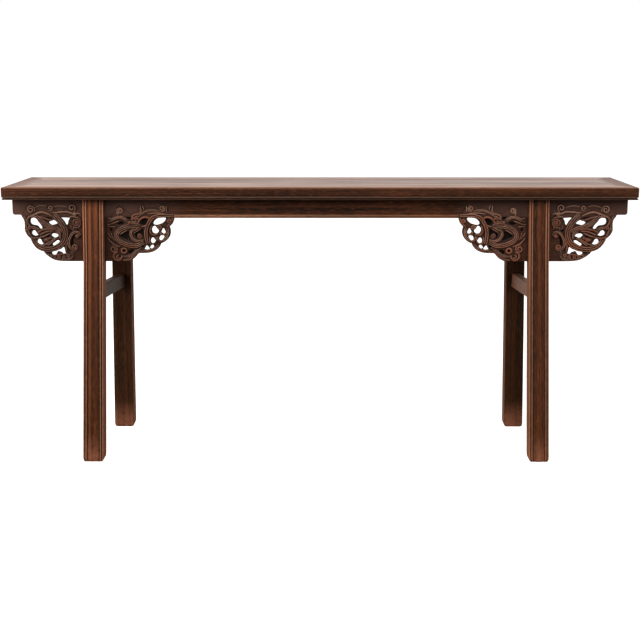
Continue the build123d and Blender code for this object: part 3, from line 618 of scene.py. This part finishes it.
def beside(points, shift):
    """The path moved sideways by shift."""
    moved = []
    for i, point in enumerate(points):
        before, after = Vector(points[max(i - 1, 0)]), Vector(points[min(i + 1, len(points) - 1)])
        heading = (after - before).normalized()
        moved.append((point[0] - heading.y * shift, point[1] + heading.x * shift))
    return moved


def lay_cord(curve, points, half_width, rise):
    """One round cord along the points. Over a quarter of its length at each end it tapers to half its
    width and lies a little lower."""
    spline = curve.splines.new("NURBS")
    spline.points.add(len(points) - 1)
    for i, (away, down) in enumerate(points):
        share = i / (len(points) - 1)
        half = half_width * min(1, 0.5 + min(share, 1 - share) / 0.5)
        lift = rise * (0.7 + 0.3 * half / half_width) / FLATTEN - half
        spline.points[i].co = (away * MM, -down * MM, lift * MM, 1)
        spline.points[i].radius = half
    spline.order_u = 3
    spline.use_endpoint_u = True


def raise_strands(name, strands, share):
    """Mesh of all the strands in the pattern's frame, every cord a closed tube."""
    curve = bpy.data.curves.new(name, "CURVE")
    curve.dimensions = "3D"
    curve.bevel_depth = MM
    curve.bevel_resolution = 3
    curve.resolution_u = 6
    curve.use_fill_caps = True
    for width, rise, cords, points in strands:
        points = stretched(points, share)
        lay_cord(curve, points, width / 2, rise - (CORD_CUT if cords else 0))
        pitch = width / max(cords, 1)
        for k in range(cords):
            side = (k - (cords - 1) / 2) * pitch
            fall = 1 - (abs(side) / (width / 2)) ** 2
            lay_cord(curve, beside(points, side), pitch * CORD_HALF, rise * (1 - CROWN + CROWN * fall))
    return curve_mesh(name, curve)


def curve_mesh(name, curve):
    """The mesh that a curve makes."""
    holder = bpy.data.objects.new(name, curve)
    bpy.context.scene.collection.objects.link(holder)
    mesh = evaluated(holder)
    bpy.data.objects.remove(holder)
    return mesh


def hollow_cutter(name, outlines, share, depth, place):
    """Object that cuts the outlines into the wing to a depth, place being the pattern's frame."""
    curve = bpy.data.curves.new(name, "CURVE")
    curve.dimensions = "2D"
    curve.fill_mode = "BOTH"
    curve.extrude = depth
    curve.resolution_u = 5
    for outline in outlines:
        spline = curve.splines.new("NURBS")
        spline.points.add(len(outline) - 1)
        for point, (away, down) in zip(spline.points, stretched(outline, share)):
            point.co = (away * MM, -down * MM, 0, 1)
        spline.order_u = 3
        spline.use_cyclic_u = True
    bm = bmesh.new()
    bm.from_mesh(curve_mesh(name, curve))
    bmesh.ops.remove_doubles(bm, verts=bm.verts, dist=1e-6)
    bmesh.ops.transform(bm, verts=bm.verts, matrix=place)
    bmesh.ops.recalc_face_normals(bm, faces=bm.faces)
    return new_piece(name, bm)


def hollowed_blank(piece, node, cutters):
    """The piece's blank with its hollows cut. The cutters are used up."""
    for cutter in cutters:
        cut = piece.modifiers.new("Cut", "BOOLEAN")
        cut.object = cutter
        cut.solver = "EXACT"
    mesh = evaluated(piece)
    if len(mesh.polygons) < len(piece.data.polygons):
        raise RuntimeError(f"{node} lost its blank when its hollows were cut")
    piece.modifiers.clear()
    for cutter in cutters:
        bpy.data.objects.remove(cutter)
    return mesh


def fuse(piece, chisel):
    """Makes one skin of a piece's blank and strands, as fine as the chisel, and softens it as wear does."""
    skin = piece.modifiers.new("Fuse", "REMESH")
    skin.mode = "VOXEL"
    skin.voxel_size = chisel
    skin.use_smooth_shade = True
    soften = piece.modifiers.new("Soften", "SMOOTH")
    soften.factor = 0.5
    soften.iterations = 1
    thin = piece.modifiers.new("Thin", "DECIMATE")
    thin.ratio = 0.6


def carve(name, node, edge, heading, pattern, eyelets, material):
    """Carves one wing: its CAD blank is set back to the ground and hollowed, and the strands are raised
    on it. edge is where the wing meets the leg, and heading the way along X that it runs from there."""
    sizes = bpy.context.scene.altar_carving
    drawn, strands, balls, pockets = pattern
    ground = APRON_FACE - sizes.ground_lift
    low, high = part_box(node)
    length = (high.x - edge if heading > 0 else edge - low.x) / MM
    share = (length - KEPT) / (drawn - KEPT)

    blank = bmesh.new()
    blank.from_mesh(bpy.data.objects[node].data)
    bmesh.ops.remove_doubles(blank, verts=blank.verts, dist=1e-5)
    front = [v for v in blank.verts if v.co.y < APRON_FACE - 4 * MM]
    bmesh.ops.translate(blank, verts=front, vec=(0, ground - min(v.co.y for v in front), 0))
    piece = new_piece(name, blank)
    # the pattern's frame: x away from the leg, y up, z out of the face
    upright = Matrix(((heading, 0, 0, edge), (0, 0, -1, ground), (0, 1, 0, FRAME_BOTTOM), (0, 0, 0, 1)))
    cutters = [hollow_cutter(name + "_hollows", pockets, share, sizes.pocket_depth, upright)]
    if eyelets:
        cutters.append(hollow_cutter(name + "_eyelet", eyelets, share, THROUGH, upright))
    hollowed = hollowed_blank(piece, node, cutters)

    bm = bmesh.new()
    bm.from_mesh(raise_strands(name + "_strands", strands, share))
    for centre, radius, rise in balls:
        (away, down), = stretched([centre], share)
        bmesh.ops.create_icosphere(bm, subdivisions=3, radius=radius * MM, matrix=Matrix.Translation(
            (away * MM, -down * MM, (rise / FLATTEN - radius) * MM)))
    bmesh.ops.transform(bm, verts=bm.verts, matrix=upright @ Matrix.Diagonal((1, 1, FLATTEN, 1)))
    bmesh.ops.recalc_face_normals(bm, faces=bm.faces)
    bm.from_mesh(hollowed)
    bm.to_mesh(piece.data)
    bm.free()
    fuse(piece, sizes.chisel)
    return settle(piece, evaluated(piece), material, "carved_wood", node)


# -------------- legs
# Half of a leg's section: millimetres from its middle, millimetres back from its outward face,
# and how much that place is rubbed, which also sets where the bead crowns carry painted highlights
# and the sunk lines painted shade. Two round beads with sunk lines run along each edge.
LEG_HALF = [(0, 0, 0.75), (5, 0.1, 0.7), (10, 0.4, 0.55), (14, 0.9, 0.35), (15.6, 1.4, 0.1),
            (16.2, 2.6, 0), (18.3, 2.6, 0), (18.7, 1.2, 0.4), (19.6, 0.4, 0.9), (21, 0, 1),
            (22.4, 0.4, 0.9), (23.3, 1.2, 0.4), (23.7, 2.6, 0), (25.4, 2.6, 0), (25.8, 1.2, 0.4),
            (26.7, 0.4, 0.9), (28, 0, 1), (29.3, 0.5, 1), (30, 1.6, 0.6), (30, 12, 0.3), (30, 56, 0.3),
            (28.5, 58, 0.4)]
LEG_WIDTH = 60
LEG_DEPTH = 58
LEG_FACE = 172  # outward face from the table's middle, under the frame
SPLAY_ACROSS = 64
# the legs' middles, under the frame and on the floor
FRONT_LEGS = {"left": (-715.5, -733.5), "right": (693.5, 711.5)}
BACK_LEGS = {"left": (-679.0, -702.0), "right": (664.0, 687.0)}
# how much fuller a leg is at its foot, outward and inward, and how fast that comes on below its head
FRONT_SWELL = {"left": (4.3, 2.6), "right": (0.3, 4.4)}
BACK_SWELL = {"left": (1.8, 6.5), "right": (2.1, 4.0)}
SWELL_POWER = 0.6
# millimetres above the floor, and how far a worn foot is drawn in there
WORN_FOOT = [(0, 1), (0.9, 0.62), (3.6, 0.3), (9, 0.08), (18, 0)]
# share of the leg's height, and how much a flared head is spread there
FLARED_HEAD = [(0.76, 0), (0.80, 0.12), (0.85, 0.35), (0.90, 0.6), (0.95, 0.83), (1, 1)]
FLARE_SHARE = {"left": 1, "right": 0.4}  # the front legs' shares of the flare
# how much each front leg's face is rubbed, by millimetres to the right of its middle
FACE_RUBBED = {"left": {-14: 0.4, -10: 0.75, -5: 0.25, 0: 0.25, 5: 0.6, 10: 0.6, 14: 0.2},
               "right": {-14: 0.13, -10: 0.13, -5: 0.15, 0: 0.25, 5: 0.18, 10: 0.13, 14: 0.18}}
# the slot that takes the apron and the wings: its two faces from the table's middle, and its bottom
FORK = (141.7, 156.3)
FORK_BOTTOM = {"front": 644.5, "back": 752.5}
SLOT_WIDTH = 200
SLOT_ABOVE = 10  # how far the slot's cutter runs past the leg's head
LEG_GRAIN = (0.31, 0.17)  # metres between the legs in the pattern: each is another piece of wood


def run_up(bm, rubbed, side, count):
    """Runs a leg's section up in so many loops of vertices, all still at the floor and in millimetres,
    with the layer rubbed filled in."""
    section = []
    for across, back, touched in LEG_HALF + [(-x, y, r) for x, y, r in reversed(LEG_HALF[1:])]:
        vert = bm.verts.new((across, back, 0))
        vert[rubbed] = FACE_RUBBED[side].get(across, touched)
        section.append(vert)
    ring = [bm.faces.new(section)]
    loops = [list(ring[0].verts)]
    while len(loops) < count:
        grown = bmesh.ops.extrude_face_region(bm, geom=[*ring, *ring[0].edges])["geom"]
        ring = [g for g in grown if isinstance(g, bmesh.types.BMFace)]
        loops.append(list(ring[0].verts))
    return loops


def forked_leg(side, face, material):
    """One splayed leg, its section run up from a worn foot to its head, with the fork cut for the apron
    and the wings. face is -1 for a front leg and 1 for a back leg."""
    sizes = bpy.context.scene.altar_legs
    end = -1 if side == "left" else 1
    row = "front" if face < 0 else "back"
    head, foot = (FRONT_LEGS if face < 0 else BACK_LEGS)[side]
    swell = (FRONT_SWELL if face < 0 else BACK_SWELL)[side]
    top = FRAME_BOTTOM / MM
    wear = sizes.foot_wear / MM
    flare = sizes.flare / MM * (FLARE_SHARE[side] if face < 0 else 0)
    stations = [(height, drawn_in, 0) for height, drawn_in in WORN_FOOT]
    stations += [(share * top, 0, spread) for share, spread in FLARED_HEAD]
    bm = bmesh.new()
    rubbed = bm.verts.layers.float.new("rubbed")
    laid = bm.verts.layers.float_vector.new("laid")
    loops = run_up(bm, rubbed, side, len(stations))
    for loop, (height, drawn_in, spread) in zip(loops, stations):
        inset = drawn_in * wear
        down = 1 - height / top
        outer, inner = (out * down ** SWELL_POWER for out in swell)
        width = LEG_WIDTH - 2 * inset + spread * flare + outer + inner
        depth = LEG_DEPTH - 0.5 * inset
        middle = head + (foot - head) * down + end * (spread * flare + outer - inner) / 2
        outward = LEG_FACE + SPLAY_ACROSS * down - LEG_DEPTH / 2
        place = (Matrix.Translation((middle * MM, face * outward * MM, height * MM))
                 @ Matrix.Diagonal((-face * width / LEG_WIDTH * MM, -face * depth / LEG_DEPTH * MM, 1, 1))
                 @ Matrix.Translation((0, -LEG_DEPTH / 2, 0)))
        for vert in loop:
            vert[laid] = (vert.co.x * MM + LEG_GRAIN[0] * end, vert.co.y * MM + LEG_GRAIN[1] * face,
                          height * MM)
            vert.co = place @ vert.co
    bmesh.ops.recalc_face_normals(bm, faces=bm.faces)
    leg = new_piece(f"{row}_{side}_worn_leg", bm)

    slot = bmesh.new()
    near, far = sorted(face * y for y in FORK)
    low = Vector((head - SLOT_WIDTH / 2, near, FORK_BOTTOM[row])) * MM
    high = Vector((head + SLOT_WIDTH / 2, far, top + SLOT_ABOVE)) * MM
    bmesh.ops.create_cube(slot, size=1, matrix=filling(low, high))
    cutter = new_piece("fork", slot)
    cut = leg.modifiers.new("Fork", "BOOLEAN")
    cut.object = cutter
    cut.solver = "EXACT"
    settle(leg, evaluated(leg), material, "leg_wood", f"{row}_{side}_leg")
    bpy.data.objects.remove(cutter)


# -------------- studio
LAMPS_AIM = (0, 0, 0.6)  # the middle of the table, below its top


def background_paper(studio):
    """Matt paper. It is white to the eye and throws back only a dim light, and polish mirrors the part
    that lies behind the table."""
    paper = bpy.data.materials.new("matt_background_paper")
    paper.use_nodes = True
    tree = paper.node_tree
    tree.nodes.clear()
    ray = add(tree, "LightPath", {})
    dim = add(tree, "BsdfDiffuse", {"Color": studio.bounce})[0]
    sheet = add(tree, "BsdfDiffuse", {"Color": studio.floor})[0]
    white = add(tree, "Emission", {"Strength": 0.8})[0]
    lit = add(tree, "AddShader", {0: sheet, 1: white})[0]
    place = add(tree, "TexCoord", {})["Object"]
    away = add(tree, "SeparateXYZ", {"Vector": place})["Y"]
    behind = strength(tree, (away, 0.0, 0.5, 0.45))
    seen = add(tree, "Math", {0: behind, 1: ray["Is Glossy Ray"]}, operation="MULTIPLY")[0]
    for kind in ("Is Camera Ray", "Is Transmission Ray"):
        seen = add(tree, "Math", {0: seen, 1: ray[kind]}, operation="MAXIMUM")[0]
    shown = add(tree, "MixShader", {0: seen, 1: dim, 2: lit})[0]
    add(tree, "OutputMaterial", {"Surface": shown})
    return paper


def soft_room():
    """World that is bright behind the table, dim before it, soft above, and white to the eye."""
    world = bpy.data.worlds.new("studio_world")
    world.use_nodes = True
    tree = world.node_tree
    tree.nodes.clear()
    ray = add(tree, "LightPath", {})
    way = add(tree, "TexCoord", {})["Generated"]
    way = add(tree, "SeparateXYZ", {"Vector": way})
    wall = add(tree, "MapRange", {"Value": way["Y"], "From Min": -0.3, "From Max": 0.8, "To Min": 0.25,
                                  "To Max": 0.9}, interpolation_type="SMOOTHSTEP")[0]
    ceiling = strength(tree, (way["Z"], 0.1, 0.9, 0.35))
    glow = add(tree, "Math", {0: wall, 1: ceiling}, operation="MAXIMUM")[0]
    room = add(tree, "Background", {"Strength": glow})[0]
    white = add(tree, "Background", {"Color": (1, 1, 1, 1), "Strength": 1.0})[0]
    seen = add(tree, "Math", {0: ray["Is Camera Ray"], 1: ray["Is Transmission Ray"]},
               operation="MAXIMUM")[0]
    shown = add(tree, "MixShader", {0: seen, 1: room, 2: white})[0]
    add(tree, "OutputWorld", {"Surface": shown})
    return world


# -------------- operators
class ALTAR_OT_studio(bpy.types.Operator):
    """Lays the floor and sets the lights, the world and the camera"""
    bl_idname = "altar.studio"
    bl_label = "Set Up the Studio"

    def execute(self, context):
        scene = context.scene
        studio = scene.altar_studio
        scene.view_settings.view_transform = "Standard"
        bm = bmesh.new()
        bmesh.ops.create_grid(bm, x_segments=1, y_segments=1, size=30)
        floor = new_piece("studio_floor", bm)
        floor.data.materials.append(background_paper(studio))
        scene.world = soft_room()

        for name, place, size, power in (
            ("key_light", (-0.3, -3.0, 2.9), (4.8, 2.8), studio.key_power),
            ("left_light", (-3.2, -1.4, 1.8), (1.2, 2.0), studio.left_power),
            ("right_light", (3.2, -1.4, 1.8), (1.2, 2.0), studio.right_power),
        ):
            data = bpy.data.lights.new(name, "AREA")
            data.shape = "RECTANGLE"
            data.size, data.size_y = size
            data.energy = power
            lamp = bpy.data.objects.new(name, data)
            lamp.location = place
            aim = Vector(LAMPS_AIM) - Vector(place)
            lamp.rotation_euler = aim.to_track_quat("-Z", "Y").to_euler()
            scene.collection.objects.link(lamp)

        # at eye height, 4.1 m before the table's middle and looking a little down
        data = bpy.data.cameras.new("camera")
        data.lens = 70.047
        data.sensor_width = 36
        data.shift_x = -0.00758
        camera = bpy.data.objects.new("camera", data)
        camera.location = (0.02654, -4.10425, 1.23217)
        camera.rotation_euler = (math.radians(78.842), 0, math.radians(0.155))
        scene.collection.objects.link(camera)
        scene.camera = camera
        return {"FINISHED"}


TONGUE = 8 * MM  # at a board's edge, in the grooves
BOARD_EASE = 0.7 * MM


class ALTAR_OT_top(bpy.types.Operator):
    """Finishes the top: mitred frame, panel boards and the battens below them"""
    bl_idname = "altar.top"
    bl_label = "Finish the Top"

    def execute(self, context):
        for names, grain in ((("top_front_rail", "top_back_rail"), "X"),
                             (("top_left_end_rail", "top_right_end_rail"), "Y")):
            kind = {"X": "long", "Y": "end"}[grain]
            dress(names, aged_elm(f"old_elm_{kind}_rails", grain, rubbed=0.5, edge=0.35, rail=True))
        worn = aged_elm("worn_elm_boards", "X", top=True)
        for name in ("top_front_board", "top_back_board"):
            # the tongues are out of sight, and the back board has none at its front
            low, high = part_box(name)
            low.x, high.x = low.x + TONGUE, high.x - TONGUE
            high.y -= TONGUE
            if name == "top_front_board":
                low.y += TONGUE
            bm = bmesh.new()
            bmesh.ops.create_cube(bm, size=1, matrix=filling(low, high))
            bmesh.ops.bevel(bm, geom=bm.edges, affect="EDGES", offset=BOARD_EASE, segments=2, profile=0.5,
                            material=-1)
            board = new_piece(name + "_worn", bm)
            settle(board, board.data, worn, "panel_wood", name)
        dress([f"top_batten_{i}" for i in (1, 2, 3, 4)],
              aged_elm("old_elm_battens", "Y", shaded=True))
        return {"FINISHED"}


REED_HEIGHTS = (3 * MM, 8.2 * MM)  # above the apron's bottom
REED_RADIUS = 2.4 * MM
REED_PROUD = 2.6 * MM  # a reed's axis before the apron's face
REED_LENGTH = 905 * MM
REED_MIDDLE = -11 * MM


class ALTAR_OT_aprons(bpy.types.Operator):
    """Finishes the aprons, the reeded bead and the small plain wings of the back"""
    bl_idname = "altar.aprons"
    bl_label = "Finish the Aprons"

    def execute(self, context):
        dress(["front_apron"], aged_elm("old_elm_front_apron", "X", dusty=True))
        back_wings = [f"back_{side}_{place}_wing" for side in ("left", "right")
                      for place in ("outer", "inner")]
        dress(["back_apron", *back_wings], aged_elm("old_elm_back_apron", "X"))
        dress(["left_end_apron", "right_end_apron"], aged_elm("old_elm_end_aprons", "Y"))
        # two reeds lie along the bead between the inner wings
        bm = bmesh.new()
        for height in REED_HEIGHTS:
            place = Matrix.Translation((REED_MIDDLE, APRON_FACE - REED_PROUD, APRON_BOTTOM + height))
            bmesh.ops.create_cone(bm, cap_ends=True, segments=16, radius1=REED_RADIUS,
                                  radius2=REED_RADIUS, depth=REED_LENGTH,
                                  matrix=place @ Matrix.Rotation(math.radians(90), 4, "Y"))
        reeds = new_piece("front_apron_reeds", bm)
        for face in reeds.data.polygons:
            face.use_smooth = len(face.vertices) == 4
        settle(reeds, reeds.data,
               aged_elm("rubbed_elm_reeds", "X", rubbed=0.9, edge=0.5, bare=0.4), "apron_wood")
        return {"FINISHED"}


class ALTAR_OT_legs(bpy.types.Operator):
    """Shapes and finishes the four splayed legs, and finishes the stretchers between them"""
    bl_idname = "altar.legs"
    bl_label = "Shape the Legs"

    def execute(self, context):
        rubbed = aged_elm("rubbed_elm_legs", "Z", handled=True, laid=True)
        plain = aged_elm("old_elm_back_legs", "Z", rubbed=0.15, edge=0.3, shaded=True, laid=True)
        for side in ("left", "right"):
            for face in (-1, 1):
                forked_leg(side, face, rubbed if face < 0 else plain)
        dress(["left_stretcher"], aged_elm("old_elm_stretcher", "Y", edge=0.3))
        dress(["right_stretcher"],
              aged_elm("rubbed_elm_stretcher", "Y", rubbed=0.9, edge=0.3, bare=0.35))
        return {"FINISHED"}


class ALTAR_OT_wings(bpy.types.Operator):
    """Carves the four pierced wings beside the front legs"""
    bl_idname = "altar.wings"
    bl_label = "Carve the Wings"

    def execute(self, context):
        wood = aged_elm("carved_elm_wings", "X", relief=True)
        patterns = {"outer": (OUTER_DRAWN, OUTER_STRANDS, OUTER_BALLS, OUTER_POCKETS),
                    "inner": (INNER_DRAWN, INNER_STRANDS, INNER_BALLS, INNER_POCKETS)}
        for side, sign in (("left", -1), ("right", 1)):
            for row, heading in (("outer", sign), ("inner", -sign)):
                edge = (FRONT_LEGS[side][0] + heading * LEG_WIDTH / 2) * MM
                eyelets = [LEFT_EYELET] if (side, row) == ("left", "inner") else []
                carve(f"{side}_{row}_carving", f"front_{side}_{row}_wing", edge, heading,
                      patterns[row], eyelets, wood)
        return {"FINISHED"}


class ALTAR_PT_table(bpy.types.Panel):
    """Sizes, colours and steps of the altar table"""
    bl_idname = "ALTAR_PT_table"
    bl_label = "Carved Altar Table"
    bl_space_type = "VIEW_3D"
    bl_region_type = "UI"
    bl_category = "Altar Table"

    def draw(self, context):
        for holder in GROUPS:
            group = getattr(context.scene, holder)
            for name in group.__annotations__:
                self.layout.prop(group, name)
        for step in STEPS:
            self.layout.operator(step.bl_idname)


GROUPS = {"altar_colours": FinishColours, "altar_carving": CarvingSizes, "altar_legs": LegSizes,
          "altar_studio": StudioSettings}
STEPS = (ALTAR_OT_studio, ALTAR_OT_top, ALTAR_OT_aprons, ALTAR_OT_legs, ALTAR_OT_wings)


def register():
    for name, group in GROUPS.items():
        bpy.utils.register_class(group)
        setattr(bpy.types.Scene, name, bpy.props.PointerProperty(type=group))
    for part in (*STEPS, ALTAR_PT_table):
        bpy.utils.register_class(part)


def unregister():
    for part in (ALTAR_PT_table, *reversed(STEPS)):
        bpy.utils.unregister_class(part)
    for name, group in GROUPS.items():
        delattr(bpy.types.Scene, name)
        bpy.utils.unregister_class(group)


def main():
    register()
    bpy.ops.altar.studio()
    bpy.ops.altar.top()
    bpy.ops.altar.aprons()
    bpy.ops.altar.legs()
    bpy.ops.altar.wings()


if __name__ == "__main__":
    main()
